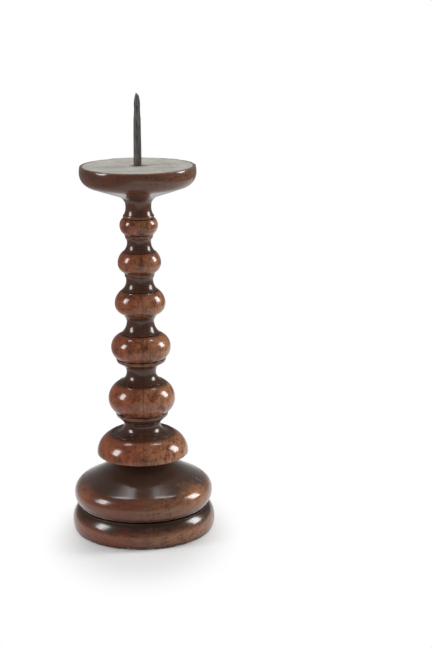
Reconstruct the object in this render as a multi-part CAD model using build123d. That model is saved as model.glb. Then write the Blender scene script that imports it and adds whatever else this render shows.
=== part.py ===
from build123d import *
import math
import os

# Pricket candle stand, turned about +Z and standing on z = 0. Lengths are in millimetres.
# Heights are given piece by piece from the floor up, so each place follows from those below it.

# Foot disc, the lowest moulding
foot_contact_radius = 85.0
foot_radius = 87.2
foot_belly_height = 12.0
foot_height = 31.0
foot_recess_radius = 66.0
foot_recess_depth = 2.5

# Groove between foot and dome, with their joint at its floor
groove_mouth_radius = 79.0
groove_mouth_height = 2.4
groove_depth = 6.0

# Base dome, which swells over the foot and sweeps up to a neck
dome_radius = 84.4
dome_belly_height = 15.0
dome_crown_radius = 17.5
dome_slope_angle = 27.5
neck_radius = 29.0
neck_cove_radius = 13.6

# Bell-shaped knop at the foot of the stem
bell_arris_radius = 53.8
bell_radius = 55.6
bell_lip_height = 2.0
bell_crown_height = 23.8
bell_shoulder_radius = 39.7

# Five ball knops, each list running from the lowest knop to the highest
waist_drops = [11.2, 11.8, 14.7, 11.5, 10.5]
waist_radii = [22.1, 17.9, 16.4, 16.2, 14.3]
ring_rises = [2.6, 6.4, 2.6, 5.0, 5.5]
ring_radii = [22.9, 19.1, 17.0, 17.4, 16.2]
bevel_heights = [7.0, 6.4, 3.2, 2.2, 1.8]
lip_radii = [32.0, 30.2, 20.4, 19.0, 17.6]
lip_heights = [3.4, 3.2, 1.6, 1.4, 1.2]
seat_radii = [31.4, 29.5, 22.4, 20.3, 18.2]
belly_heights = [17.0, 13.2, 12.1, 10.6, 10.2]
knop_radii = [40.5, 36.0, 30.4, 25.9, 22.8]
crown_heights = [19.8, 16.6, 15.8, 13.3, 7.8]
shoulder_radii = [29.1, 24.6, 22.9, 20.2, 19.9]

# Turner's details on the stem: the ring at each waist, the nick under each ball, the quirk above it
ring_height = 0.9
ring_step = 0.4
lip_slant = 0.8
nick_height = 0.9
nick_depth = 1.0
quirk_height = 1.2
quirk_depth = 2.2
quirk_setback = 1.6

# Bead over the top knop, and the short neck under the pan
bead_height = 3.2
bead_swell = 0.4
bead_top_radius = 17.9
top_waist_drop = 9.1
top_waist_radius = 15.3
top_neck_rise = 7.2
top_neck_radius = 16.2

# Drip pan, with the boss that sits on the stem
boss_overhang = 0.7
pan_cove_height = 6.5
pan_cove_radius = 24.0
pan_arris_radius = 57.5
pan_underside_rise = 11.3
pan_radius = 69.0
pan_belly_height = 16.5
pan_rim_height = 7.7
pan_top_radius = 68.4
pan_edge_round = 0.8
pan_ring_radius = 37.6
pan_ring_width = 1.0
pan_ring_depth = 0.4

# Round tenons turned on both ends of the stem, and their bores
base_tenon_radius = 15.0
pan_tenon_radius = 9.0
pan_tenon_length = 22.0
tenon_clearance = 0.15
tenon_end_gap = 0.6
tenon_chamfer = 1.0

# Wedge driven into the saw kerf of the lower tenon
wedge_length = 24.0
wedge_mouth_width = 4.4
wedge_root_width = 1.6
wedge_clearance = 0.1
kerf_extra_length = 2.0

# Forged square pricket: tang below the pan's top, shank, and hammered point
spike_turn_angle = 33.7
spike_base_side = 6.6
spike_shank_side = 5.9
spike_shank_height = 54.0
spike_neck_side = 5.1
spike_neck_height = 60.5
spike_taper_side = 4.5
spike_taper_height = 72.0
spike_point_side = 2.4
spike_height = 84.3
tang_length = 45.0
tang_tip_side = 3.2
tang_clearance = 0.1
tang_end_gap = 1.0

# Every cut runs this far past the face it opens
overrun = 1.0


def upright_arc(upright, end):
    """Circular arc that is parallel to the axis at one point and reaches the other."""
    direction = math.copysign(1, end[1] - upright[1])
    return TangentArc(upright, end, tangent=(0, direction))


def turned(edges):
    """Solid of revolution of a closed half section drawn as radius and height."""
    section = make_face(Curve() + edges)
    return revolve(Plane.XZ * section, Axis.Z)


def bore(radius, low, high):
    """Cylinder on the axis between two heights, for cutting a hole."""
    return Pos(0, 0, low) * Cylinder(radius, high - low, align=(Align.CENTER, Align.CENTER, Align.MIN))


def square_bar(sections, grow):
    """Straight-sided bar through squares given as height and side, each face moved out by grow."""
    squares = [Pos(0, 0, height) * Rectangle(side + 2 * grow, side + 2 * grow) for height, side in sections]
    return Rot(0, 0, spike_turn_angle) * loft(squares, ruled=True)


# Heights of the base
dome_equator_z = foot_height + dome_belly_height
slope = math.radians(dome_slope_angle)
lean_in_share = 1 - math.sin(slope)
lean_up_share = math.cos(slope)
brow = (dome_radius - dome_crown_radius * lean_in_share, dome_equator_z + dome_crown_radius * lean_up_share)
sweep_foot_radius = neck_radius + neck_cove_radius * lean_in_share
sweep_foot = (sweep_foot_radius, brow[1] + (brow[0] - sweep_foot_radius) * math.tan(slope))
neck_z = sweep_foot[1] + neck_cove_radius * lean_up_share
base_bore_radius = base_tenon_radius + tenon_clearance


def make_foot_disc():
    """Round moulding that stands on a flat rim round a shallow recess."""
    equator = (foot_radius, foot_belly_height)
    contact = (foot_contact_radius, 0)
    groove_edge = (groove_mouth_radius, foot_height - groove_mouth_height / 2)
    groove_floor = (groove_mouth_radius - groove_depth, foot_height)
    recess_edge = (foot_recess_radius, 0)
    recess_top = (foot_recess_radius, foot_recess_depth)
    bore_low = (base_bore_radius, foot_recess_depth)
    bore_high = (base_bore_radius, foot_height)
    return turned([
        Line(recess_edge, contact),
        upright_arc(equator, contact),
        upright_arc(equator, groove_edge),
        Polyline(groove_edge, groove_floor, bore_high, bore_low, recess_top, recess_edge),
    ])


def make_base_dome():
    """Wide moulding with a straight slope between its round edge and its neck."""
    groove_edge = (groove_mouth_radius, foot_height + groove_mouth_height / 2)
    groove_floor = (groove_mouth_radius - groove_depth, foot_height)
    equator = (dome_radius, dome_equator_z)
    neck_edge = (neck_radius, neck_z)
    bore_low = (base_bore_radius, foot_height)
    bore_high = (base_bore_radius, neck_z)
    return turned([
        upright_arc(equator, groove_edge),
        upright_arc(equator, brow),
        Line(brow, sweep_foot),
        upright_arc(neck_edge, sweep_foot),
        Polyline(neck_edge, bore_high, bore_low, groove_floor, groove_edge),
    ])


def bell_outline():
    """Edges of the bell knop from its lower arris up, and the rim where the first waist starts."""
    equator = (bell_radius, neck_z + bell_lip_height)
    shoulder = (bell_shoulder_radius, equator[1] + bell_crown_height)
    edges = [upright_arc(equator, (bell_arris_radius, neck_z)), upright_arc(equator, shoulder)]
    quirk, rim = quirk_outline(shoulder)
    return edges + quirk, rim


def quirk_outline(shoulder):
    """V-shaped nick above a crown, and its upper rim."""
    floor = (shoulder[0] - quirk_depth, shoulder[1] + quirk_height / 2)
    rim = (shoulder[0] - quirk_setback, shoulder[1] + quirk_height)
    return [Polyline(shoulder, floor, rim)], rim


def knop_outline(index, start):
    """Edges from a rim through the waist, ring, bevel, lip and ball of one knop, and its upper rim."""
    waist = (waist_radii[index], start[1] + waist_drops[index])
    ring_low = (ring_radii[index], waist[1] + ring_rises[index])
    ring_high = (ring_radii[index] + ring_step, ring_low[1] + ring_height)
    ring_out = (ring_high[0], ring_low[1])
    lip_low = (lip_radii[index] - lip_slant, ring_high[1] + bevel_heights[index])
    lip_high = (lip_radii[index], lip_low[1] + lip_heights[index])
    nick_floor = (lip_high[0] - nick_depth, lip_high[1] + nick_height / 2)
    seat = (seat_radii[index], lip_high[1] + nick_height)
    equator = (knop_radii[index], seat[1] + belly_heights[index])
    shoulder = (shoulder_radii[index], equator[1] + crown_heights[index])
    edges = [
        upright_arc(waist, start),
        upright_arc(waist, ring_low),
        Polyline(ring_low, ring_out, ring_high, lip_low, lip_high, nick_floor, seat),
        upright_arc(equator, seat),
        upright_arc(equator, shoulder),
    ]
    quirk, rim = quirk_outline(shoulder)
    return edges + quirk, rim


def stem_outline():
    """Edges of the stem from the bell's arris to the top shoulder, with that shoulder's edge."""
    edges, rim = bell_outline()
    for index in range(len(knop_radii)):
        knop_edges, rim = knop_outline(index, rim)
        edges += knop_edges
    bead_mid = (rim[0] + bead_swell, rim[1] + bead_height / 2)
    bead_top = (rim[0], rim[1] + bead_height)
    edges.append(ThreePointArc(rim, bead_mid, bead_top))
    step = (bead_top_radius, bead_top[1])
    waist = (top_waist_radius, step[1] + top_waist_drop)
    top = (top_neck_radius, waist[1] + top_neck_rise)
    edges += [Line(bead_top, step), upright_arc(waist, step), upright_arc(waist, top)]
    return edges, top


stem_edges, stem_top = stem_outline()

# Heights of the pan and the pricket
stem_top_z = stem_top[1]
pan_tenon_z = stem_top_z + pan_tenon_length
pan_slope_z = stem_top_z + pan_cove_height
pan_arris_z = pan_slope_z + pan_underside_rise
pan_equator_z = pan_arris_z + pan_belly_height
pan_top_z = pan_equator_z + pan_rim_height
tang_hole_sections = [
    (pan_top_z - tang_length - tang_end_gap, tang_tip_side),
    (pan_top_z, spike_base_side),
    (pan_top_z + overrun, spike_base_side),
]


def kerf_blade(mouth_width, root_width, low, high):
    """Tapered slab across the lower tenon, thinner at the top."""
    outline = Polyline(
        (-mouth_width / 2, low),
        (mouth_width / 2, low),
        (root_width / 2, high),
        (-root_width / 2, high),
        close=True,
    )
    return extrude(Plane.XZ * make_face(outline), base_tenon_radius + overrun, both=True)


def make_stem():
    """Knopped turning with a kerfed tenon below and a short tenon above."""
    low_end = (base_tenon_radius - tenon_chamfer, foot_recess_depth)
    low_side = (base_tenon_radius, foot_recess_depth + tenon_chamfer)
    low_seat = (base_tenon_radius, neck_z)
    bell_arris = (bell_arris_radius, neck_z)
    high_seat = (pan_tenon_radius, stem_top_z)
    high_side = (pan_tenon_radius, pan_tenon_z - tenon_chamfer)
    high_end = (pan_tenon_radius - tenon_chamfer, pan_tenon_z)
    turning = turned(stem_edges + [
        Polyline((0, foot_recess_depth), low_end, low_side, low_seat, bell_arris),
        Polyline(stem_top, high_seat, high_side, high_end, (0, pan_tenon_z), (0, foot_recess_depth)),
    ])
    kerf = kerf_blade(
        wedge_mouth_width + 2 * wedge_clearance,
        wedge_root_width + 2 * wedge_clearance,
        foot_recess_depth,
        foot_recess_depth + wedge_length,
    )
    root_z = foot_recess_depth + wedge_length
    root_width = wedge_root_width + 2 * wedge_clearance
    kerf_root = Pos(0, 0, root_z) * Box(
        root_width,
        2 * (base_tenon_radius + overrun),
        kerf_extra_length,
        align=(Align.CENTER, Align.CENTER, Align.MIN),
    )
    return turning - kerf - kerf_root - square_bar(tang_hole_sections, tang_clearance)


def make_tenon_wedge():
    """Hardwood wedge that fills the kerf and ends flush with the tenon."""
    top_z = foot_recess_depth + wedge_length
    blade = kerf_blade(wedge_mouth_width, wedge_root_width, foot_recess_depth, top_z)
    return blade & bore(base_tenon_radius - tenon_chamfer, foot_recess_depth, top_z)


def make_drip_pan():
    """Round pan with a flat top, a heavy rounded edge and a boss bored for the stem's tenon."""
    boss_edge = (top_neck_radius + boss_overhang, stem_top_z)
    slope_start = (pan_cove_radius, pan_slope_z)
    arris = (pan_arris_radius, pan_arris_z)
    equator = (pan_radius, pan_equator_z)
    round_low = (pan_top_radius, pan_top_z - pan_edge_round)
    round_mid_share = 1 - math.sqrt(1 / 2)
    round_mid = (pan_top_radius - pan_edge_round * round_mid_share, pan_top_z - pan_edge_round * round_mid_share)
    round_high = (pan_top_radius - pan_edge_round, pan_top_z)
    ring_out = (pan_ring_radius + pan_ring_width / 2, pan_top_z)
    ring_floor = (pan_ring_radius, pan_top_z - pan_ring_depth)
    ring_in = (pan_ring_radius - pan_ring_width / 2, pan_top_z)
    inward = (slope_start[0] - arris[0], slope_start[1] - arris[1])
    blank = turned([
        TangentArc(slope_start, boss_edge, tangent=inward),
        Line(slope_start, arris),
        upright_arc(equator, arris),
        upright_arc(equator, round_low),
        ThreePointArc(round_low, round_mid, round_high),
        Polyline(round_high, ring_out, ring_floor, ring_in, (0, pan_top_z), (0, stem_top_z), boss_edge),
    ])
    socket_radius = pan_tenon_radius + tenon_clearance
    socket = bore(socket_radius, stem_top_z - overrun, pan_tenon_z + tenon_end_gap)
    return blank - socket - square_bar(tang_hole_sections, tang_clearance)


def make_pricket_spike():
    """Square iron spike, drawn down to a short blunt point above and a long tang below."""
    return square_bar([
        (pan_top_z - tang_length, tang_tip_side),
        (pan_top_z, spike_base_side),
        (pan_top_z + spike_shank_height, spike_shank_side),
        (pan_top_z + spike_neck_height, spike_neck_side),
        (pan_top_z + spike_taper_height, spike_taper_side),
        (pan_top_z + spike_height, spike_point_side),
    ], 0)


nodes = {
    "foot_disc": make_foot_disc,
    "base_dome": make_base_dome,
    "stem": make_stem,
    "tenon_wedge": make_tenon_wedge,
    "drip_pan": make_drip_pan,
    "pricket_spike": make_pricket_spike,
}

os.makedirs("parts", exist_ok=True)
for name, make in nodes.items():
    export_step(make(), f"parts/{name}.step")
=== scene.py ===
import math

import bmesh
import bpy
from bpy.props import FloatProperty, FloatVectorProperty, IntProperty, PointerProperty
from mathutils import Matrix, Vector, geometry, noise


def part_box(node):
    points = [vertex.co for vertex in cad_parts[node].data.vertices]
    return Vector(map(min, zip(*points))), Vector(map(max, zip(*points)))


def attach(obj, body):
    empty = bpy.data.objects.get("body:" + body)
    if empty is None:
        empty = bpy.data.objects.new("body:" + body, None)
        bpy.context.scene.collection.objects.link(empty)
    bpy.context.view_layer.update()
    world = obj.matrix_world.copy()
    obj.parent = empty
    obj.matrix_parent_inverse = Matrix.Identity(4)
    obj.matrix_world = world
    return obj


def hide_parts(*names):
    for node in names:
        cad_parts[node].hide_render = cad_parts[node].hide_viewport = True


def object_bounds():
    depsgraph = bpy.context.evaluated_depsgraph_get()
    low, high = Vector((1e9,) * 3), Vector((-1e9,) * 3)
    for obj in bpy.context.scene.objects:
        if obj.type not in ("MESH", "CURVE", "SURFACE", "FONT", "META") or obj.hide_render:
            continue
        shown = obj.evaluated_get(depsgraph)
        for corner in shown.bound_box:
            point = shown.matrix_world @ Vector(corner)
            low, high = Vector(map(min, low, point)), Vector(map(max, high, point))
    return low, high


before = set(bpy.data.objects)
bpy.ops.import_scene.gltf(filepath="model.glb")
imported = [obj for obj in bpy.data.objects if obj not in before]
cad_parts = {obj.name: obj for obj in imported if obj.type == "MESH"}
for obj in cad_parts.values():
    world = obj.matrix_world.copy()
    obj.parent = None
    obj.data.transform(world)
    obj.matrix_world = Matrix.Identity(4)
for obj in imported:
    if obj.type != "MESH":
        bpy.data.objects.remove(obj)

bl_info = {
    "name": "Pricket candle stand",
    "version": (1, 0, 0),
    "blender": (4, 5, 0),
    "location": "View3D > Sidebar > Candle stand",
    "description": "Finishes a turned candle stand: waxed wood, wear, drying cracks and a forged spike",
    "category": "Object",
}

CAD_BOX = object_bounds()
BODY = "root"
MM = 0.001
PER_MM = 1000
MERGE_DISTANCE = 0.001 * MM
MUCH_LONGER = 3
FULL_TURN = 2 * math.pi
UP = Vector((0, 0, 1))
MARKS = ("belly", "hollow", "nick", "ridge", "bare", "gap")
BELLY_AT_ENDS = 0.35


def length(name, description, metres):
    """A size that the panel shows in the scene's units."""
    return FloatProperty(name=name, description=description, default=metres, precision=5, unit="LENGTH")


def angle(name, description, degrees):
    """An angle that the panel shows in degrees."""
    return FloatProperty(name=name, description=description, default=math.radians(degrees), unit="ROTATION")


def share(name, description, value):
    """A plain number, mostly from 0 to 1."""
    return FloatProperty(name=name, description=description, default=value, subtype="FACTOR")


def colour(name, description, red, green, blue):
    """A colour in linear light."""
    return FloatVectorProperty(
        name=name, description=description, default=(red, green, blue), size=3, subtype="COLOR", min=0, max=1
    )


class TurningSettings(bpy.types.PropertyGroup):
    """Mesh and wear of the turned pieces."""

    steps: IntProperty(name="Steps round", description="Faces round a wide piece", default=192, min=32)
    stem_steps: IntProperty(name="Stem steps round", description="Faces round the stem", default=150, min=32)
    step: length("Step", "Longest step along an outline", 1.8 * MM)
    corner: angle("Corner", "An outline that turns more than this has a crisp corner", 15)
    edge_round: length("Edge round", "How far each crisp edge is rubbed back", 0.6 * MM)
    belly_rise: length("Belly rise", "A stretch that swells this far past both its ends is a belly", 0.5 * MM)
    belly_soft: length("Belly soft", "How far the patina reaches onto a belly", 5.5 * MM)
    wave_depth: length("Wave depth", "How far the hand-turned surface wanders inwards", 0.12 * MM)
    wave_size: length("Wave size", "Distance between the surface's slow swells", 24 * MM)
    dent_depth: length("Dent depth", "Depth of the small knocks", 0.12 * MM)
    dent_size: length("Dent size", "Distance between the small knocks", 9 * MM)
    rub_depth: length("Rub depth", "Extra wear on standing edges", 0.5 * MM)
    scuff_depth: length("Scuff depth", "Depth of the ragged wear along the lower edge of the foot", 1.1 * MM)
    scuff_height: length("Scuff height", "How high that ragged wear reaches", 3.2 * MM)
    scuff_size: length("Scuff size", "Distance between its nibbles", 3.4 * MM)
    chip_depth: length("Chip depth", "Depth of the chips in the pan's rim", 0.7 * MM)
    chip_height: length("Chip height", "How far down the rim the chips reach", 1.3 * MM)
    chip_size: length("Chip size", "Distance between the bites inside a chip", 2.5 * MM)
    hollow_reach: length("Hollow reach", "How far up and down a hollow is measured", 22 * MM)
    nick_reach: length("Nick reach", "How far along the outline a nick is measured", 1.6 * MM)
    nick_depth: length("Nick depth", "A nick this deep is quite dark", 0.9 * MM)
    crack_width: length("Crack width", "Width of a drying crack at its middle", 1.3 * MM)
    crack_depth: length("Crack depth", "Depth of a drying crack at its middle", 3.5 * MM)


class WoodSettings(bpy.types.PropertyGroup):
    """Colours and figure of the waxed wood."""

    light: colour("Light wood", "Early wood on the ochre side of the trunk", 0.330, 0.140, 0.066)
    red: colour("Red wood", "Early wood on the red side of the trunk", 0.215, 0.060, 0.027)
    dark: colour("Dark wood", "Late wood and dark clouds", 0.082, 0.025, 0.012)
    ochre: colour("Ochre wood", "Pale patches where the stain is rubbed through", 0.340, 0.145, 0.048)
    # Patina also gives the painted shade in narrow grooves and in the groove over the foot.
    patina: colour("Patina", "Old wax and smoke in the hollows", 0.029, 0.0145, 0.0095)
    raw: colour("Raw wood", "Bare wood in chips and underneath", 0.430, 0.340, 0.250)
    # The gap colour is near black: dirt in a crack together with painted shade of its depth.
    gap: colour("Gap", "Inside of a drying crack", 0.004, 0.003, 0.002)
    ring_spacing: length("Ring spacing", "Width of a growth ring", 3.4 * MM)
    line_offset: length("Line offset", "Where the dark line lies right of the axis", 3.6 * MM)
    line_width: length("Line width", "Half the width of the dark line down the stem", 0.9 * MM)
    gloss: share("Specular level", "Strength of the wax's mirror", 0.5)
    rough: share("Roughness", "Roughness of the wax on the high places", 0.17)
    dust_rough: share("Dust roughness", "Spread of the dust's pale veil", 0.3)


class PanSettings(bpy.types.PropertyGroup):
    """Dull top of the drip pan."""

    dust_light: colour("Light dust", "Pale grey of the rubbed top", 0.370, 0.362, 0.325)
    dust_dark: colour("Dark dust", "Darker grey in the turning lines", 0.255, 0.246, 0.210)
    soot: colour("Soot", "Dark stain along the rim and round the spike", 0.022, 0.018, 0.016)
    ruddy: colour("Ruddy", "Brown patch where the wood shows through", 0.25, 0.10, 0.07)


class IronSettings(bpy.types.PropertyGroup):
    """Forged spike."""

    iron: colour("Iron", "Bare worn iron", 0.170, 0.162, 0.155)
    scale: colour("Scale", "Dark forge scale", 0.045, 0.041, 0.038)
    rust: colour("Rust", "Brown rust at the foot of the spike", 0.085, 0.040, 0.022)
    cuts_along: IntProperty(name="Cuts along", description="Cuts along the bar's mesh", default=150, min=8)
    cuts_across: IntProperty(name="Cuts across", description="Cuts in each side of the bar", default=9, min=2)
    squareness: share("Squareness", "Higher gives the bar sharper arrises", 36)
    blunt: length("Blunt", "How much fuller than straight the last of the taper is, at its middle", 0.5 * MM)
    fuller: length("Fuller", "How much the hammered bar stands out past a straight bar's side", 0.28 * MM)
    hammer_depth: length("Hammer depth", "Depth of the hammer marks", 0.12 * MM)
    hammer_size: length("Hammer size", "Distance between hammer marks", 9 * MM)
    lean: length("Lean", "How far the point stands to the right of the axis", 0.7 * MM)
    tip_slant: length("Tip slant", "How much lower the right side of the blunt tip is", 1.2 * MM)


class StageSettings(bpy.types.PropertyGroup):
    """Floor, light and camera."""

    # The floor's grey near the stand, darker than the white it fades into, is a painted shadow round the
    # stand over its real shadow.
    floor: colour("Floor", "Pale floor", 0.70, 0.70, 0.70)
    floor_radius: length("Floor radius", "Size of the floor", 3.0)
    fade_start: length("Fade start", "Where the floor begins to fade into the backdrop", 0.085)
    fade_end: length("Fade end", "Where the floor is the backdrop's white", 0.2)
    # Fade forward and fade narrow shape that painted shadow: longer in front of the stand, shorter to its
    # sides.
    fade_forward: length("Fade forward", "How far in front of the stand the fade is centred", 0.035)
    fade_narrow: share("Fade narrow", "How much sooner the floor fades to the sides", 1.6)
    table_right: length("Table right", "How far right the white floor that the gloss sees is centred", 0.3)
    table_edge: length("Table edge", "How far to each side the gloss sees that floor", 0.8)
    table_back: length("Table back", "How far behind the stand the gloss sees a white floor", 1.5)
    ambient: share("Ambient", "Light of the white room on matt surfaces", 0.42)
    dusk: share("Dusk", "What the gloss sees beyond the table, at the horizon", 0.25)
    ceiling: share("Ceiling", "What the gloss sees overhead", 0.14)
    camera_focal: length("Focal length", "Focal length on a frame 36 mm high", 0.08675)
    camera_height: length("Camera height", "Height of the lens over the floor", 0.7144)
    camera_distance: length("Camera distance", "Level distance from the lens to the stand's axis", 1.8172)
    camera_side: length("Camera side", "How far right of the stand the lens is", 0.0906)
    camera_pitch: angle("Camera pitch", "How far the lens looks down", 14.19)
    camera_roll: angle("Camera roll", "How far the camera leans", 0.37)


class CandleStandSettings(bpy.types.PropertyGroup):
    """All the settings of the stand."""

    turning: PointerProperty(type=TurningSettings)
    wood: PointerProperty(type=WoodSettings)
    pan: PointerProperty(type=PanSettings)
    iron: PointerProperty(type=IronSettings)
    stage: PointerProperty(type=StageSettings)


class Value:
    """One output socket of a material, on which arithmetic adds Math nodes."""

    def __init__(self, finish, socket):
        self.finish = finish
        self.socket = socket

    def __add__(self, other):
        return self.finish.maths("ADD", self, other)

    def __radd__(self, other):
        return self.finish.maths("ADD", other, self)

    def __sub__(self, other):
        return self.finish.maths("SUBTRACT", self, other)

    def __rsub__(self, other):
        return self.finish.maths("SUBTRACT", other, self)

    def __mul__(self, other):
        return self.finish.maths("MULTIPLY", self, other)

    def __rmul__(self, other):
        return self.finish.maths("MULTIPLY", other, self)

    def __truediv__(self, other):
        return self.finish.maths("DIVIDE", self, other)

    def __rtruediv__(self, other):
        return self.finish.maths("DIVIDE", other, self)

    def __pow__(self, other):
        return self.finish.maths("POWER", self, other)

    def __rpow__(self, other):
        return self.finish.maths("POWER", other, self)

    def __abs__(self):
        return self.finish.maths("ABSOLUTE", self)


class Finish:
    """The node tree of one material or of the world."""

    def __init__(self, owner):
        owner.use_nodes = True
        self.tree = owner.node_tree
        self.tree.nodes.clear()

    def node(self, kind, settings=None, sockets=None, output=0):
        """Adds a node, sets it up, then gives its sockets their values or links."""
        made = self.tree.nodes.new("ShaderNode" + kind)
        for name, value in (settings or {}).items():
            setattr(made, name, value)
        for name, value in (sockets or {}).items():
            if isinstance(value, Value):
                self.tree.links.new(value.socket, made.inputs[name])
            else:
                made.inputs[name].default_value = value
        return Value(self, made.outputs[output]) if made.outputs else None

    def maths(self, operation, *values):
        """A Math node."""
        return self.node("Math", {"operation": operation}, dict(enumerate(values)))

    def larger(self, first, second):
        """The larger of two numbers at each point."""
        return self.maths("MAXIMUM", first, second)

    def ramp(self, value, low, high):
        """0 up to low, 1 from high, and smooth between."""
        sockets = {"Value": value, "From Min": low, "From Max": high}
        return self.node("MapRange", {"interpolation_type": "SMOOTHSTEP"}, sockets)

    def mix(self, factor, first, second):
        """Colour between two colours."""
        return self.node("Mix", {"data_type": "RGBA"}, {0: factor, 6: first, 7: second}, output=2)

    def blended(self, factor, first, second):
        """Shader between two shaders."""
        return self.node("MixShader", {}, {0: factor, 1: first, 2: second})

    def stretch(self, vector, scales):
        """Vector with its three parts scaled."""
        return self.node("VectorMath", {"operation": "MULTIPLY"}, {0: vector, 1: scales})

    def distance(self, vector, place):
        """How far a point is from a place."""
        return self.node("VectorMath", {"operation": "DISTANCE"}, {0: vector, 1: place}, output=1)

    def noise(self, vector, scale, detail=2.0, roughness=0.5, distortion=0.0):
        """Soft noise from 0 to 1 in space."""
        sockets = {
            "Vector": vector,
            "Scale": scale,
            "Detail": detail,
            "Roughness": roughness,
            "Distortion": distortion,
        }
        return self.node("TexNoise", {"noise_dimensions": "3D"}, sockets)

    def rings(self, distance, scale, roughness):
        """Noise along a distance, which makes rings when that is a radius."""
        sockets = {"W": distance, "Scale": scale, "Detail": 3.0, "Roughness": roughness}
        return self.node("TexNoise", {"noise_dimensions": "1D"}, sockets)

    def attribute(self, name):
        """A number that the mesh holds at each point."""
        return self.node("Attribute", {"attribute_name": name}, output=2)

    def parts(self, vector):
        """The three parts of a vector."""
        first = self.node("SeparateXYZ", sockets={0: vector})
        return [Value(self, socket) for socket in first.socket.node.outputs]

    def millimetres(self):
        """Place on the object, in millimetres."""
        return self.stretch(self.node("TexCoord", output=3), (PER_MM, PER_MM, PER_MM))

    def bump(self, height, strength, depth):
        """Fine relief of a given depth."""
        return self.node("Bump", {}, {"Strength": strength, "Distance": depth, "Height": height})

    def surface(self, sockets):
        """Ends a material with one plain surface."""
        self.node("OutputMaterial", {}, {"Surface": self.node("BsdfPrincipled", {}, sockets)})


def opaque(tone):
    """A settings colour with an alpha of 1."""
    return (*tone, 1)


def from_axis(x, y):
    """Distance from an axis, from the two steps across it."""
    return (x * x + y * y) ** 0.5


def settings_of(context):
    """The stand's settings."""
    return context.scene.candle_stand


def half_section(node):
    """Outline of a CAD node on one side of the axis: ordered points, and whether they close."""
    bm = bmesh.new()
    bm.from_mesh(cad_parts[node].data)
    bmesh.ops.remove_doubles(bm, verts=bm.verts, dist=MERGE_DISTANCE)
    everything = bm.verts[:] + bm.edges[:] + bm.faces[:]
    bmesh.ops.bisect_plane(
        bm, geom=everything, dist=MERGE_DISTANCE / 10, plane_co=(0, 0, 0), plane_no=(0, 1, 0),
        clear_outer=True, clear_inner=True,
    )
    far_side = [v for v in bm.verts if v.co.x < -MERGE_DISTANCE]
    bmesh.ops.delete(bm, geom=far_side, context="VERTS")
    ends = sorted((v for v in bm.verts if len(v.link_edges) == 1), key=lambda v: v.co.z)
    vertex = ends[0] if ends else min(bm.verts, key=lambda v: v.co.x)
    walked = []
    while vertex is not None:
        walked.append(vertex)
        others = [e.other_vert(vertex) for e in vertex.link_edges]
        vertex = next((v for v in others if v not in walked[-2:] and v is not walked[0]), None)
    points = [v.co.copy() for v in walked]
    bm.free()
    return points, not ends


def direction_at(before, here, after, corner):
    """Direction in which an outline passes a point, or None at a corner."""
    arriving = here - before
    leaving = after - here
    if arriving.angle(leaving) > corner:
        return None
    if arriving.length > MUCH_LONGER * leaving.length:
        return arriving.normalized()
    if leaving.length > MUCH_LONGER * arriving.length:
        return leaving.normalized()
    return (arriving.normalized() + leaving.normalized()).normalized()


def filled_in(points, closed, step, corner):
    """Outline with its round stretches filled in to the step, and its corners' positions in it."""
    count = len(points)
    last = count if closed else count - 1
    directions = []
    for index, here in enumerate(points):
        is_end = not closed and index in (0, count - 1)
        after = points[(index + 1) % count]
        directions.append(None if is_end else direction_at(points[index - 1], here, after, corner))
    filled = []
    corners = []
    for index in range(last):
        here = points[index]
        after = points[(index + 1) % count]
        chord = after - here
        straight = chord.normalized()
        start = directions[index]
        end = directions[(index + 1) % count]
        if start is None:
            start = straight if end is None else 2 * end.dot(straight) * straight - end
            if closed or index > 0:
                corners.append(len(filled))
        if end is None:
            end = 2 * start.dot(straight) * straight - start
        third = chord.length / 3
        parts = max(1, math.ceil(chord.length / step))
        curve = geometry.interpolate_bezier(here, here + third * start, after - third * end, after, parts + 1)
        filled += curve[:-1]
    if not closed:
        filled.append(points[-1])
    return filled, corners


def rounded_outline(points, closed, turning, hollow_depth):
    """Mesh of the outline as edges, marked, with each crisp corner rubbed round."""
    filled, corners = filled_in(points, closed, turning.step, turning.corner)
    bm = bmesh.new()
    for name in MARKS:
        bm.verts.layers.float.new(name)
    verts = [bm.verts.new(point) for point in filled]
    for before, after in zip(verts, verts[1:] + verts[:1] * closed):
        bm.edges.new((before, after))
    mark_bellies(bm, verts, corners, turning)
    mark_hollows(bm, verts, turning.hollow_reach, hollow_depth)
    mark_edges(bm, verts, closed, turning)
    bmesh.ops.bevel(
        bm, geom=[verts[index] for index in corners], offset=turning.edge_round, offset_type="OFFSET",
        segments=3, profile=0.5, affect="VERTICES", material=-1, clamp_overlap=True,
    )
    return bm


def mark_bellies(bm, verts, corners, turning):
    """Marks each stretch between two corners that swells past both of them, less towards its ends."""
    belly = bm.verts.layers.float["belly"]
    for start, end in zip(corners, corners[1:]):
        stretch = verts[start:end + 1]
        low, high = stretch[0].co, stretch[-1].co
        if max(v.co.x for v in stretch) - max(low.x, high.x) > turning.belly_rise:
            for vertex in stretch:
                to_end = min((vertex.co - low).length, (vertex.co - high).length)
                vertex[belly] = min(1, BELLY_AT_ENDS + (1 - BELLY_AT_ENDS) * to_end / turning.belly_soft)


def mark_hollows(bm, verts, reach, hollow_depth):
    """Marks how far each point lies inside the widest place near its height."""
    hollow = bm.verts.layers.float["hollow"]
    for vertex in verts:
        wide = max(v.co.x for v in verts if abs(v.co.z - vertex.co.z) < reach)
        vertex[hollow] = min(1, (wide - vertex.co.x) / hollow_depth)


def place_along(points, closed, index, distance):
    """Place on an outline a distance past one of its points, or before it if negative."""
    step = 1 if distance > 0 else -1
    left = abs(distance)
    here = points[index]
    while closed or 0 <= index + step < len(points):
        index += step
        after = points[index % len(points)]
        gap = (after - here).length
        if gap >= left:
            return here.lerp(after, left / gap)
        left -= gap
        here = after
    return here


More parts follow.
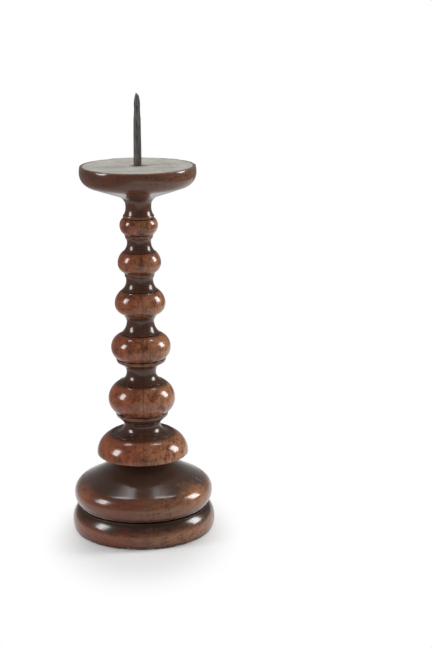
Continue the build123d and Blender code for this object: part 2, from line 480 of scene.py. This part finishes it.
def mark_edges(bm, verts, closed, turning):
    """Marks the standing edges and the narrow grooves of an outline."""
    nick, ridge = (bm.verts.layers.float[name] for name in ("nick", "ridge"))
    points = [v.co.copy() for v in verts]
    area = sum(a.x * b.z - b.x * a.z for a, b in zip(points, points[1:] + points[:1]))
    for index, vertex in enumerate(verts):
        before = place_along(points, closed, index, -turning.nick_reach)
        after = place_along(points, closed, index, turning.nick_reach)
        outward = Vector((0, 1, 0)).cross(after - before).normalized() * math.copysign(1, area)
        bulge = outward.dot(vertex.co - (before + after) / 2) / turning.nick_depth
        vertex[nick] = max(0, min(1, -bulge))
        vertex[ridge] = max(0, min(1, bulge))


def turn(bm, steps):
    """Spins an outline into a closed turning."""
    bmesh.ops.spin(
        bm, geom=bm.verts[:] + bm.edges[:], cent=(0, 0, 0), axis=UP, angle=FULL_TURN, steps=steps,
        use_merge=True,
    )
    bmesh.ops.remove_doubles(bm, verts=bm.verts, dist=MERGE_DISTANCE)
    bmesh.ops.recalc_face_normals(bm, faces=bm.faces)


def swell(point, size, seed):
    """Smooth noise from 0 to 1 with swells of a given size."""
    return 0.5 + 0.5 * noise.noise(point / size + Vector((seed, seed, seed)))


def above(amount, threshold):
    """How far a number from 0 to 1 is past a threshold, again from 0 to 1."""
    return max(0, amount - threshold) / (1 - threshold)


def knocks(point, size, seed, past):
    """Scattered knocks from 0 to 1: smooth noise, where it is past a threshold."""
    return above(swell(point, size, seed), past)


def wear(bm, turning, seed, local_wear):
    """Moves each point over the lowest level inwards: swells, knocks, rubbed edges and local wear."""
    bm.normal_update()
    ridge = bm.verts.layers.float["ridge"]
    bare = bm.verts.layers.float["bare"]
    floor_z = min(v.co.z for v in bm.verts)
    moves = []
    for vertex in bm.verts:
        place = vertex.co
        depth = turning.wave_depth * swell(place, turning.wave_size, seed)
        depth += turning.dent_depth * knocks(place, turning.dent_size, seed + 3, past=0.72)
        depth += turning.rub_depth * vertex[ridge] * knocks(place, turning.dent_size, seed + 7, past=0.4)
        if local_wear:
            extra, bareness = local_wear(place)
            depth += extra
            vertex[bare] = bareness
        moves.append(vertex.normal * -depth)
    for vertex, move in zip(bm.verts, moves):
        if vertex.co.z > floor_z + MERGE_DISTANCE:
            vertex.co += move
            vertex.co.z = max(vertex.co.z, floor_z)


def crack(bm, start, end, turning):
    """Opens a drying crack between two places on a surface."""
    gap = bm.verts.layers.float["gap"]
    bm.normal_update()
    middle = (start + end) / 2
    reach = (end - start).length / 2
    nearest = min(bm.faces, key=lambda f: (f.calc_center_median() - middle).length)
    outward = nearest.normal.copy()
    along = (end - start).normalized()
    sideways = along.cross(outward).normalized()
    cut_reach = reach * 1.25
    middle_line = turning.crack_width / 20
    for side in (-1, 0, 1):
        around = [f for f in bm.faces if (f.calc_center_median() - middle).length < cut_reach]
        around = [f for f in around if f.normal.dot(outward) > 0]
        edges = {e for f in around for e in f.edges}
        verts = {v for f in around for v in f.verts}
        bmesh.ops.bisect_plane(
            bm, geom=list(verts) + list(edges) + around, dist=MERGE_DISTANCE,
            plane_co=middle + sideways * side * turning.crack_width / 2, plane_no=sideways,
        )
    for vertex in bm.verts:
        offset = vertex.co - middle
        on_line = abs(offset.dot(sideways)) < middle_line
        share_along = offset.dot(along) / reach
        if on_line and abs(share_along) < 1 and abs(offset.dot(outward)) < reach / 2:
            taper = 1 - share_along * share_along
            vertex[gap] = taper ** 0.5
            vertex.co -= outward * turning.crack_depth * taper


def add_piece(name, bm, node, material):
    """Makes a finished mesh the piece that stands for a CAD node."""
    mesh = bpy.data.meshes.new(name)
    bm.to_mesh(mesh)
    bm.free()
    mesh.shade_smooth()
    piece = bpy.data.objects.new(name, mesh)
    bpy.context.scene.collection.objects.link(piece)
    mesh.materials.append(material)
    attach(piece, BODY)
    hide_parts(node)


def turned_piece(
    name, node, turning, material, seed, hollow_depth, steps=None, drop=None, local_wear=None, cracks=()
):
    """Builds one turned piece from its CAD node's own outline."""
    points, closed = half_section(node)
    if drop:
        points = drop(points)
    bm = rounded_outline(points, closed, turning, hollow_depth)
    turn(bm, steps or turning.steps)
    wear(bm, turning, seed, local_wear)
    for start, end in cracks:
        crack(bm, Vector(start) * MM, Vector(end) * MM, turning)
    add_piece(name, bm, node, material)


def figure(finish, wood, seeded, across, beside):
    """All of the wood's figure as one number round 0.5, then its clouds, mottling and fibres alone."""
    sway = finish.noise(finish.stretch(seeded, (0.03, 0.03, 0.008)), 1.0, 2.0) - 0.5
    ring_radius = from_axis(across, beside) + sway * 16.0
    rings = finish.rings(ring_radius / (wood.ring_spacing * PER_MM), 1.0, 0.65)
    fibre = finish.noise(finish.stretch(seeded, (0.60, 0.60, 0.06)), 1.0, 4.0, 0.6)
    cloud = finish.noise(finish.stretch(seeded, (0.085, 0.085, 0.07)), 1.0, 4.0, 0.6, 0.6)
    mottle = finish.noise(finish.stretch(seeded, (0.20, 0.20, 0.26)), 1.0, 5.0, 0.62, 0.8)
    total = 0.5 + (rings - 0.5) * 0.8 + (fibre - 0.5) * 0.7 + (cloud - 0.5) * 1.9 + (mottle - 0.5) * 1.7
    return total, cloud, mottle, fibre


def dark_line(finish, wood, place):
    """Thin dark streak down the stem's front."""
    x, y = finish.parts(place)[:2]
    wander = finish.noise(finish.stretch(place, (0.0, 0.0, 0.05)), 1.0, 3.0, 0.6) - 0.5
    off_line = abs(x - wood.line_offset * PER_MM + wander * 2.6)
    strength = finish.noise(finish.stretch(place, (0.1, 0.1, 0.16)), 1.0, 2.0)
    width = wood.line_width * PER_MM
    return (1 - finish.ramp(off_line, width * 0.3, width * 1.5)) * finish.ramp(y, 6.0, -6.0) * strength


def patches(finish, place, spots):
    """Soft round patches of a given radius and strength round chosen places, in millimetres."""
    total = 0.0
    edge = finish.noise(finish.stretch(place, (0.11, 0.11, 0.11)), 1.0, 4.0, 0.65) - 0.5
    for centre, radius, strength in spots:
        spot = 1 - finish.ramp(finish.distance(place, centre) + edge * radius * 0.9, radius * 0.2, radius)
        spot = spot * strength
        total = spot if isinstance(total, float) else finish.larger(total, spot)
    return total


UNDERSIDE = (-0.985, -0.96)


def flat_grain(askew):
    """Turn that lays the grain flat, from left to right, and a little askew."""
    return (0, math.radians(90), askew)


def turned_wood(
    name, wood, grain_turn, pith, seed, age, smoked=0.84, dust=0.0, ochre_spots=(), line=False, top=None
):
    """Waxed wood with rings, fibres, flecks and patina.

    Age spreads the patina, smoked is how well it covers, and dust veils the wood at low angles.
    """
    material = bpy.data.materials.new(name)
    finish = Finish(material)
    millimetres = finish.millimetres()
    grain = finish.node("Mapping", {}, {"Vector": millimetres, "Location": pith, "Rotation": grain_turn})
    another_tree = (seed * 37.0, seed * 11.0, seed * 53.0)
    seeded = finish.node("VectorMath", {"operation": "ADD"}, {0: grain, 1: another_tree})
    across, beside = finish.parts(grain)[:2]
    total, cloud, mottle, fibre = figure(finish, wood, seeded, across, beside)

    flecks = finish.node(
        "TexVoronoi", {"feature": "F1", "voronoi_dimensions": "3D"},
        {"Vector": finish.stretch(seeded, (0.62, 0.62, 0.30)), "Scale": 1.0, "Randomness": 1.0},
    )
    fleck = (1 - finish.ramp(flecks, 0.12, 0.30)) * finish.ramp(cloud, 0.40, 0.60)
    side = finish.parts(millimetres)[0]
    ochre_side = finish.ramp(side + (cloud - 0.5) * 60.0, -22.0, 34.0)
    early = finish.mix(ochre_side, opaque(wood.red), opaque(wood.light))
    tone = finish.mix(finish.ramp(total, -0.1, 0.85), opaque(wood.dark), early)
    rubbed = patches(finish, millimetres, ochre_spots) if ochre_spots else 0.0
    tone = finish.mix(rubbed * (mottle * 1.1 - 0.05), tone, opaque(wood.ochre))
    tone = finish.mix(fleck * 0.55, tone, opaque(wood.dark))
    if line:
        tone = finish.mix(dark_line(finish, wood, millimetres) * 0.8, tone, opaque(wood.patina))

    facing = finish.parts(finish.node("NewGeometry", output=1))[2]
    belly, hollow, nick, ridge, bare, gap = (finish.attribute(mark) for mark in MARKS)
    upward = facing * 0.5 + 0.5
    shelter = (1 - belly) * 0.5 + hollow * (0.25 + 0.65 * upward) * (1 - belly * 0.4)
    uneven = (cloud - 0.5) * 1.0 + (mottle - 0.5) * 0.7 - rubbed * 0.35
    smoke = finish.ramp(age + shelter + uneven, 0.3, 1.1)
    tone = finish.mix(smoke * smoked, tone, opaque(wood.patina))
    # Narrow grooves are darkened towards the patina: partly wax and dirt, partly painted shade in the
    # grooves.
    tone = finish.mix(finish.ramp(nick + (fibre - 0.5) * 0.4, 0.2, 0.8) * 0.9, tone, opaque(wood.patina))
    # Standing edges are lightened a little towards the light wood: partly worn edges, partly a painted
    # highlight along crisp edges.
    tone = finish.mix(finish.ramp(ridge, 0.15, 0.6) * 0.2, tone, opaque(wood.light))
    rough = wood.rough + (cloud - 0.5) * 0.10 + smoke * 0.03 + (mottle - 0.5) * 0.06 + gap * 0.7

    if top:
        tone, rough = top(finish, millimetres, tone, rough, facing)

    worn = finish.ramp(bare + (mottle - 0.5) * 0.5, 0.35, 0.75)
    under = 1 - finish.ramp(facing, *UNDERSIDE)
    raw = finish.larger(worn, under * 0.8)
    tone = finish.mix(raw * (0.2 + 0.6 * mottle), tone, opaque(wood.raw))
    # Inside a crack the colour goes near black: dirt and painted shade of the crack's depth.
    tone = finish.mix(finish.ramp(gap, 0.15, 0.7), tone, opaque(wood.gap))
    rough = rough + raw * 0.4

    finish.surface({
        "Base Color": tone,
        "Roughness": rough,
        "Normal": finish.bump(fibre * 0.45 + mottle * 0.35 - fleck * 0.4, strength=0.1, depth=0.05 * MM),
        "Specular IOR Level": wood.gloss,
        "Sheen Weight": dust,
        "Sheen Roughness": wood.dust_rough,
    })
    return material


def pan_top(settings, pan_top_z):
    """Dull grey top of the pan: its own colour and roughness over the wood's."""
    level = pan_top_z * PER_MM

    def over(finish, place, tone, rough, facing):
        x, y, z = finish.parts(place)
        radius = from_axis(x, y)
        flat = finish.ramp(facing, 0.75, 0.97) * finish.ramp(z, level - 2.5, level - 1.0)
        stain = finish.noise(finish.stretch(place, (0.05, 0.05, 0.05)), 1.0, 4.0, 0.6)
        rings = finish.rings(radius, 0.55, 0.7)
        grain = finish.noise(finish.stretch(place, (0.06, 0.9, 0.9)), 1.0, 3.0, 0.6)
        grey = finish.mix(
            finish.ramp(rings * 0.7 + stain * 0.9 + grain * 0.35, 0.72, 1.2),
            opaque(settings.dust_dark), opaque(settings.dust_light),
        )
        smudge = finish.noise(finish.stretch(place, (0.035, 0.16, 0.1)), 1.0, 5.0, 0.65)
        grey = finish.mix(finish.ramp(smudge, 0.55, 0.75) * 0.35, grey, opaque(settings.soot))
        burnt = 1 - finish.ramp(radius + (stain - 0.5) * 12.0, 4.0, 14.0)
        grey = finish.mix(burnt * 0.7, grey, opaque(settings.soot))
        ruddy = patches(finish, place, [((17.0, 4.0, level), 13.0, 0.35)])
        grey = finish.mix(ruddy, grey, opaque(settings.ruddy))
        edge = finish.ramp(radius + (stain - 0.5) * 4.0, 63.5, 66.5)
        cover = flat * (1 - edge * 0.9)
        tone = finish.mix(edge * flat * 0.6, tone, opaque(settings.soot))
        left_rim = patches(finish, place, [((-56.0, -42.0, level - 3.0), 36.0, 0.45)])
        high = finish.ramp(z + (stain - 0.5) * 12.0, level - 12.0, level - 6.0)
        tone = finish.mix(left_rim * high, tone, opaque(settings.soot))
        return finish.mix(cover, tone, grey), rough + cover * 0.42
    return over


def forged_iron(iron, foot_z):
    """Dark forged iron with worn high places and rust where it enters the wood."""
    material = bpy.data.materials.new("forged_iron")
    finish = Finish(material)
    millimetres = finish.millimetres()
    height = finish.parts(millimetres)[2] - foot_z * PER_MM
    drawn = finish.noise(finish.stretch(millimetres, (0.55, 0.55, 0.10)), 1.0, 4.0, 0.6)
    speck = finish.noise(millimetres, 0.9, 3.0, 0.6)
    worn = finish.ramp(drawn * 0.7 + speck * 0.5, 0.42, 0.80)
    tone = finish.mix(worn, opaque(iron.scale), opaque(iron.iron))
    rusty = (1 - finish.ramp(height + (speck - 0.5) * 9.0, 2.0, 12.0)) * 0.8
    rusty = finish.larger(rusty, finish.ramp(speck, 0.62, 0.75) * 0.4)
    finish.surface({
        "Base Color": finish.mix(rusty, tone, opaque(iron.rust)),
        "Roughness": 0.58 - worn * 0.15,
        "Metallic": 0.5 - rusty * 0.4,
        "Normal": finish.bump(drawn * 0.6 + speck * 0.6, strength=0.5, depth=0.2 * MM),
    })
    return material


def sawn_wood(wood):
    """Bare sawn hardwood of the wedge."""
    material = bpy.data.materials.new("sawn_wood")
    finish = Finish(material)
    place = finish.node("TexCoord", output=3)
    fibre = finish.noise(finish.stretch(place, (900.0, 900.0, 60.0)), 1.0, 4.0, 0.6)
    saw = finish.noise(finish.stretch(place, (100.0, 100.0, 1600.0)), 1.0, 2.0, 0.5)
    tone = finish.mix(finish.ramp(fibre * 0.7 + saw * 0.3, 0.25, 0.75), opaque(wood.dark), opaque(wood.raw))
    bump = finish.bump(fibre + saw, strength=0.5, depth=0.1 * MM)
    finish.surface({"Base Color": tone, "Roughness": 0.75, "Normal": bump})
    return material


def camera_and_gloss_rays(finish):
    """1 for rays from the camera, then 1 for rays in mirrors and glass."""
    kinds = finish.node("LightPath").socket.node.outputs
    camera, glossy, through = (
        Value(finish, kinds[name]) for name in ("Is Camera Ray", "Is Glossy Ray", "Is Transmission Ray")
    )
    return camera, finish.larger(glossy, through)


WHITE = (1, 1, 1, 1)
HORIZON = (0.02, 0.32)
EVENLY_WHITE_ACROSS = 0.5
EVENLY_WHITE_BACK = 0.6


def white_room(stage):
    """World that shows the camera white, lights matt surfaces softly, and looks dim in the gloss."""
    world = bpy.data.worlds.new("white_room")
    bpy.context.scene.world = world
    finish = Finish(world)
    camera, gloss = camera_and_gloss_rays(finish)
    height = finish.parts(finish.node("TexCoord"))[2]
    horizon = 1 - finish.ramp(height, *HORIZON)
    white, ambient, dusk, ceiling = (
        finish.node("Background", {}, {"Color": WHITE, "Strength": strength})
        for strength in (1.0, stage.ambient, stage.dusk, stage.ceiling)
    )
    seen_in_gloss = finish.blended(horizon, ceiling, dusk)
    light = finish.blended(camera, finish.blended(gloss, ambient, seen_in_gloss), white)
    finish.node("OutputWorld", {}, {"Surface": light})


def floor_finish(stage):
    """Pale grey floor that keeps its shadow near the stand and fades to white; the grey left round the stand,
    reaching further in front than to the sides, is a painted shadow.

    Away from the stand the gloss sees it white on a lit patch only, and dim beyond that.
    """
    material = bpy.data.materials.new("pale_floor")
    finish = Finish(material)
    x, y = finish.parts(finish.node("TexCoord", output=3))[:2]
    off_middle = abs(x - stage.table_right)
    lit = 1 - finish.ramp(off_middle, stage.table_edge * EVENLY_WHITE_ACROSS, stage.table_edge)
    lit = lit * (1 - finish.ramp(y, stage.table_back * EVENLY_WHITE_BACK, stage.table_back))
    # The fade reaches further in front of the stand than to its sides, so the grey matt floor left round the
    # stand is a painted shadow over the real shadow it keeps.
    radius = from_axis(x * stage.fade_narrow, y + stage.fade_forward)
    camera, gloss = camera_and_gloss_rays(finish)
    far = finish.ramp(radius, stage.fade_start, stage.fade_end) * finish.larger(camera, gloss)
    matt = finish.node("BsdfDiffuse", {}, {"Color": opaque(stage.floor)})
    white, dusk = (
        finish.node("Emission", {}, {"Color": WHITE, "Strength": strength}) for strength in (1.0, stage.dusk)
    )
    glow = finish.blended(finish.larger(camera, lit), dusk, white)
    finish.node("OutputMaterial", {}, {"Surface": finish.blended(far, matt, glow)})
    return material


def add_floor(stage):
    """Round floor under the stand."""
    bm = bmesh.new()
    bmesh.ops.create_circle(bm, cap_ends=True, segments=96, radius=stage.floor_radius)
    mesh = bpy.data.meshes.new("floor")
    bm.to_mesh(mesh)
    bm.free()
    floor = bpy.data.objects.new("floor", mesh)
    bpy.context.scene.collection.objects.link(floor)
    mesh.materials.append(floor_finish(stage))


SOFT_BOXES = {
    "left_box": {"azimuth": -74, "elevation": 24, "away": 4.0, "wide": 1.15, "tall": 1.80, "radiance": 15},
    "right_box": {"azimuth": 101, "elevation": 22, "away": 4.0, "wide": 1.28, "tall": 1.75, "radiance": 17},
    "overhead_box": {"azimuth": 180, "elevation": 79, "away": 1.3, "wide": 1.4, "tall": 0.14, "radiance": 14},
}


def add_soft_box(name, azimuth, elevation, away, wide, tall, radiance):
    """Soft box turned to the middle of the stand. Azimuth 0 is in front, 90 on the right."""
    light = bpy.data.lights.new(name, "AREA")
    light.shape = "RECTANGLE"
    light.size = wide
    light.size_y = tall
    light.energy = radiance * math.pi * wide * tall
    box = bpy.data.objects.new(name, light)
    bpy.context.scene.collection.objects.link(box)
    middle = (CAD_BOX[0] + CAD_BOX[1]) / 2
    side, up = math.radians(azimuth), math.radians(elevation)
    towards = Vector((math.sin(side) * math.cos(up), -math.cos(side) * math.cos(up), math.sin(up)))
    place = Matrix.Translation(middle + towards * away)
    box.matrix_world = place @ towards.to_track_quat("Z", "Y").to_matrix().to_4x4()


FILM_HEIGHT = 36


def add_camera(stage):
    """Camera at the photograph's viewing angle. Its frame is upright, so its longer side is the height."""
    data = bpy.data.cameras.new("camera")
    data.lens = stage.camera_focal * PER_MM
    data.sensor_width = FILM_HEIGHT
    camera = bpy.data.objects.new("camera", data)
    bpy.context.scene.collection.objects.link(camera)
    place = Matrix.Translation((stage.camera_side, -stage.camera_distance, stage.camera_height))
    pitch = Matrix.Rotation(math.radians(90) - stage.camera_pitch, 4, "X")
    roll = Matrix.Rotation(-stage.camera_roll, 4, "Z")
    camera.matrix_world = place @ pitch @ roll
    bpy.context.scene.camera = camera


def ragged_foot(turning):
    """Wear of the foot: its lower edge is nibbled away unevenly."""
    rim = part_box("foot_disc")[1].x * 0.9

    def at(place):
        low = 1 - place.z / turning.scuff_height
        if place.xy.length <= rim or low <= 0:
            return 0, 0
        nibble = knocks(place, turning.scuff_size, seed=31, past=0.42)
        nibble += knocks(place, turning.dent_size, seed=37, past=0.5)
        return turning.scuff_depth * low * nibble, low * nibble * 2.2
    return at


def chipped_rim(turning, chips):
    """Wear of the pan: chips in its top edge, by angle from the front and half width, in degrees."""
    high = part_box("drip_pan")[1]
    rim = high.x * 0.96

    def at(place):
        close = 1 - (high.z - place.z) / turning.chip_height
        if place.xy.length < rim or close <= 0:
            return 0, 0
        here = math.degrees(math.atan2(place.x, -place.y))
        inside = max(1 - abs(here - centre) / half_width for centre, half_width in chips)
        bites = 0.35 + 0.65 * swell(place, turning.chip_size, 41)
        depth = max(0, min(1, 2 * inside)) * bites
        return turning.chip_depth * depth * close, depth * close
    return at


UPRIGHT_GRAIN = (0, 0, 0)
FOOT_CRACKS = [((85.4, -11.3, 19.2), (86.0, -14.1, 8.5))]
DOME_CRACKS = [((61.3, -13.5, 67), (73.5, -18.4, 62.2)), ((77, 15.6, 59.7), (83.9, -4.2, 50.5))]
DOME_OCHRE_SPOTS = [((60, -43, 62), 28, 1.0), ((-67, -38, 57), 24, 0.4)]
PAN_CHIPS = [(-35, 8), (50, 7), (37, 2.5)]


class CANDLE_OT_foot_disc(bpy.types.Operator):
    """Foot disc, worn at its lower edge"""

    bl_idname = "candle_stand.foot_disc"
    bl_label = "Foot disc"

    def execute(self, context):
        settings = settings_of(context)
        # Full smoke and the shallow hollow depth below darken the foot's top under the dome's overhang:
        # partly smoke patina, partly painted shade of the groove between foot and dome.
        material = turned_wood(
            "foot_wood_waxed", settings.wood, flat_grain(0.06), pith=(95, 10, 0), seed=3, age=0.47, smoked=1.0
        )
        turned_piece(
            "waxed_foot_disc", "foot_disc", settings.turning, material, seed=3, hollow_depth=2.5 * MM,
            local_wear=ragged_foot(settings.turning), cracks=FOOT_CRACKS,
        )
        return {"FINISHED"}


class CANDLE_OT_base_dome(bpy.types.Operator):
    """Base dome, smoky on top, with its drying cracks"""

    bl_idname = "candle_stand.base_dome"
    bl_label = "Base dome"

    def execute(self, context):
        settings = settings_of(context)
        material = turned_wood(
            "dome_wood_waxed", settings.wood, flat_grain(0.06), pith=(70, 20, 0), seed=5, age=0.6,
            smoked=0.92, dust=0.9, ochre_spots=DOME_OCHRE_SPOTS,
        )
        turned_piece(
            "waxed_base_dome", "base_dome", settings.turning, material, seed=5, hollow_depth=15 * MM,
            cracks=DOME_CRACKS,
        )
        return {"FINISHED"}


class CANDLE_OT_stem(bpy.types.Operator):
    """Stem with its bell, five balls and two tenons"""

    bl_idname = "candle_stand.stem"
    bl_label = "Stem"

    def execute(self, context):
        settings = settings_of(context)
        material = turned_wood(
            "stem_wood_waxed", settings.wood, UPRIGHT_GRAIN, pith=(18, 26, 0), seed=1, age=0.05, line=True
        )
        turned_piece(
            "waxed_stem", "stem", settings.turning, material, seed=1, hollow_depth=13 * MM,
            steps=settings.turning.stem_steps, drop=without_kerf,
        )
        return {"FINISHED"}


def without_kerf(points):
    """Outline of the stem with the kerf of its lower tenon closed."""
    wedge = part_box("tenon_wedge")[1]
    over_kerf = wedge.z + 3 * MM
    beside_kerf = wedge.x * 1.1
    kept = [p for p in points if p.z > over_kerf or p.x > beside_kerf]
    return [Vector((0, 0, kept[0].z))] + kept


class CANDLE_OT_tenon_wedge(bpy.types.Operator):
    """Sawn wedge in the lower tenon"""

    bl_idname = "candle_stand.tenon_wedge"
    bl_label = "Tenon wedge"

    def execute(self, context):
        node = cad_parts["tenon_wedge"]
        node.data.materials.clear()
        node.data.materials.append(sawn_wood(settings_of(context).wood))
        return {"FINISHED"}


class CANDLE_OT_drip_pan(bpy.types.Operator):
    """Drip pan with a polished edge and a dull top"""

    bl_idname = "candle_stand.drip_pan"
    bl_label = "Drip pan"

    def execute(self, context):
        settings = settings_of(context)
        top = pan_top(settings.pan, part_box("drip_pan")[1].z)
        material = turned_wood(
            "pan_wood_waxed", settings.wood, flat_grain(0.05), pith=(80, 15, 0), seed=8, age=0.8, top=top
        )
        turned_piece(
            "waxed_drip_pan", "drip_pan", settings.turning, material, seed=8, hollow_depth=60 * MM,
            local_wear=chipped_rim(settings.turning, PAN_CHIPS),
        )
        return {"FINISHED"}


class CANDLE_OT_pricket_spike(bpy.types.Operator):
    """Hammered square spike"""

    bl_idname = "candle_stand.pricket_spike"
    bl_label = "Pricket spike"

    def execute(self, context):
        iron = settings_of(context).iron
        bm = bmesh.new()
        bmesh.ops.create_cube(bm, size=1)
        hammer_bar(bm, iron)
        add_piece("forged_spike", bm, "pricket_spike", forged_iron(iron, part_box("drip_pan")[1].z))
        return {"FINISHED"}


def bar_sections():
    """Half side of the CAD spike at each of its heights, and the turn of its sides."""
    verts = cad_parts["pricket_spike"].data.vertices
    corner = max(verts, key=lambda v: v.co.xy.length).co
    turned_by = math.atan2(corner.y, corner.x) - math.radians(45)
    square_on = Matrix.Rotation(-turned_by, 3, "Z")
    half_sides = {}
    for vertex in verts:
        flat = square_on @ vertex.co
        height = round(vertex.co.z, 5)
        half_sides[height] = max(half_sides.get(height, 0), abs(flat.x), abs(flat.y))
    return sorted(half_sides.items()), turned_by


def half_side_at(sections, height):
    """Half side of the bar at a height, straight between its sections."""
    for (low, low_side), (high, high_side) in zip(sections, sections[1:]):
        if low <= height <= high:
            return low_side + (high_side - low_side) * (height - low) / (high - low)
    return sections[-1][1]


FULL_WIDTH_FROM = 0.05
TAPER_FROM = 0.8
SLANT_FROM = 0.97
SLANT_PIVOT = 0.3


def hammer_bar(bm, iron):
    """Shapes a unit cube into the hammered bar."""
    upright = [e for e in bm.edges if abs(e.verts[0].co.z - e.verts[1].co.z) > 0.5]
    bmesh.ops.subdivide_edges(bm, edges=upright, cuts=iron.cuts_along, use_grid_fill=True)
    for axis in (0, 1):
        across = [e for e in bm.edges if abs(e.verts[0].co[axis] - e.verts[1].co[axis]) > 0.5]
        bmesh.ops.subdivide_edges(bm, edges=across, cuts=iron.cuts_across, use_grid_fill=True)
    sections, turned_by = bar_sections()
    low, high = sections[0][0], sections[-1][0]
    pan_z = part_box("drip_pan")[1].z
    turn_round = Matrix.Rotation(turned_by, 3, "Z")
    power = iron.squareness
    for vertex in bm.verts:
        height = low + (vertex.co.z + 0.5) * (high - low)
        risen = max(0, (height - pan_z) / (high - pan_z))
        near_tip = above(risen, TAPER_FROM)
        half = half_side_at(sections, height) + iron.blunt * 4 * near_tip * (1 - near_tip)
        half += iron.fuller * min(1, risen / FULL_WIDTH_FROM) * (1 - near_tip)
        flat = Vector((vertex.co.x, vertex.co.y, 0)) * 2
        reach = (abs(flat.x) ** power + abs(flat.y) ** power) ** (1 / power)
        rounded = flat * (max(abs(flat.x), abs(flat.y)) / reach if reach else 1)
        place = turn_round @ (rounded * half)
        blow = swell(Vector((place.x, place.y, height)), iron.hammer_size, 21)
        place *= 1 - iron.hammer_depth / half * blow
        slant = iron.tip_slant * (place.x / half + SLANT_PIVOT) * above(risen, SLANT_FROM)
        place.x += iron.lean * risen
        vertex.co = Vector((place.x, place.y, height - max(0, slant)))
    bmesh.ops.recalc_face_normals(bm, faces=bm.faces)


class CANDLE_OT_stage(bpy.types.Operator):
    """Floor, soft boxes, white room and camera"""

    bl_idname = "candle_stand.stage"
    bl_label = "Stage"

    def execute(self, context):
        stage = settings_of(context).stage
        add_floor(stage)
        white_room(stage)
        for name, box in SOFT_BOXES.items():
            add_soft_box(name, **box)
        add_camera(stage)
        context.scene.view_settings.view_transform = "Standard"
        return {"FINISHED"}


class CANDLE_PT_panel(bpy.types.Panel):
    """Sizes and colours of the stand, and the steps that make it"""

    bl_idname = "CANDLE_PT_panel"
    bl_label = "Candle stand"
    bl_space_type = "VIEW_3D"
    bl_region_type = "UI"
    bl_category = "Candle stand"

    def draw(self, context):
        settings = settings_of(context)
        for group in (settings.turning, settings.wood, settings.pan, settings.iron, settings.stage):
            box = self.layout.box()
            for name in group.__annotations__:
                box.prop(group, name)
        for operator in OPERATORS:
            self.layout.operator(operator.bl_idname)


OPERATORS = (
    CANDLE_OT_foot_disc,
    CANDLE_OT_base_dome,
    CANDLE_OT_stem,
    CANDLE_OT_tenon_wedge,
    CANDLE_OT_drip_pan,
    CANDLE_OT_pricket_spike,
    CANDLE_OT_stage,
)
SETTINGS = (TurningSettings, WoodSettings, PanSettings, IronSettings, StageSettings, CandleStandSettings)


def register():
    """Adds the settings, operators and panel to Blender."""
    for kind in (*SETTINGS, *OPERATORS, CANDLE_PT_panel):
        bpy.utils.register_class(kind)
    bpy.types.Scene.candle_stand = PointerProperty(type=CandleStandSettings)


def unregister():
    """Takes them out again."""
    del bpy.types.Scene.candle_stand
    for kind in reversed((*SETTINGS, *OPERATORS, CANDLE_PT_panel)):
        bpy.utils.unregister_class(kind)


def main():
    """Makes every piece and the stage."""
    register()
    for operator in OPERATORS:
        group, name = operator.bl_idname.split(".")
        getattr(getattr(bpy.ops, group), name)()


if __name__ == "__main__":
    main()
